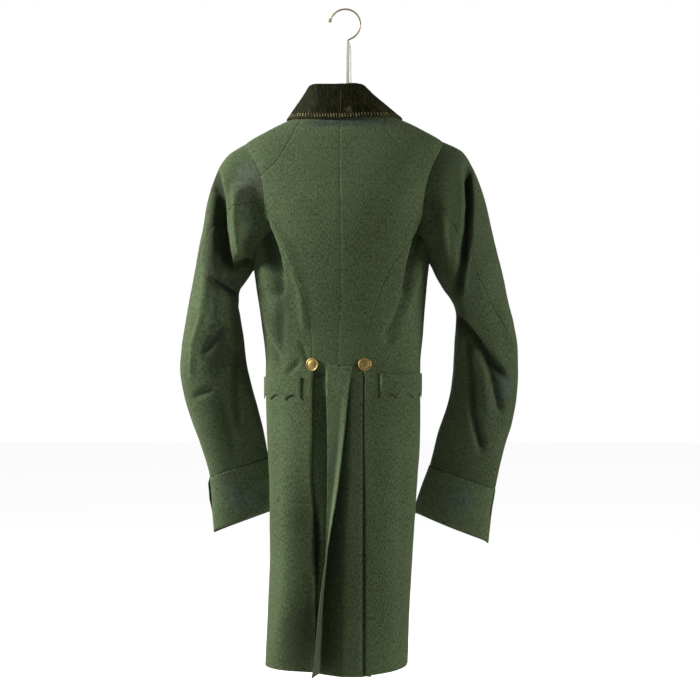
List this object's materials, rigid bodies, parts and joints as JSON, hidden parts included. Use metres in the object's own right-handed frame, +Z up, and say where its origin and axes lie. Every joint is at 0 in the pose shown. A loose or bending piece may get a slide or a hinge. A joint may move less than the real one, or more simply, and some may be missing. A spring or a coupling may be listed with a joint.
{
  "type": "tailcoat",
  "caption": "Fitted green wool tailcoat with a turned-down velvet collar, scalloped pocket flaps, pleated back skirts and gilt waist buttons, on a hanger.",
  "frame": {"origin": "inside of the hanger hook's crown, where a rail carries it", "axes": "+Z up, +Y out of the coat's back, +X towards its wearer's left"},
  "size_m": [0.6032, 0.2776, 1.1697],
  "materials": {
    "wool": "napped green broadcloth, worn",
    "velvet": "worn dark velvet",
    "gilt": "gilt, lightly worn",
    "wood": "satin varnish",
    "hanger_metal": "polished pale brass"
  },
  "bodies": {
    "root": {"back_left": "wool", "back_right": "wool", "forepart_left": "wool", "forepart_right": "wool", "lapel_left": "wool", "lapel_right": "wool", "flap_left": "wool", "flap_right": "wool", "sleeve_left_upper": "wool", "sleeve_left_under": "wool", "sleeve_right_upper": "wool", "sleeve_right_under": "wool", "cuff_left_upper": "wool", "cuff_left_under": "wool", "cuff_right_upper": "wool", "cuff_right_under": "wool", "collar": "velvet", "waist_button_left": "gilt", "waist_button_right": "gilt", "hanger_bar": "wood", "hanger_shank": "hanger_metal", "hanger_hook": "hanger_metal", "hanger_tip": "hanger_metal"}
  },
  "joints": []
}
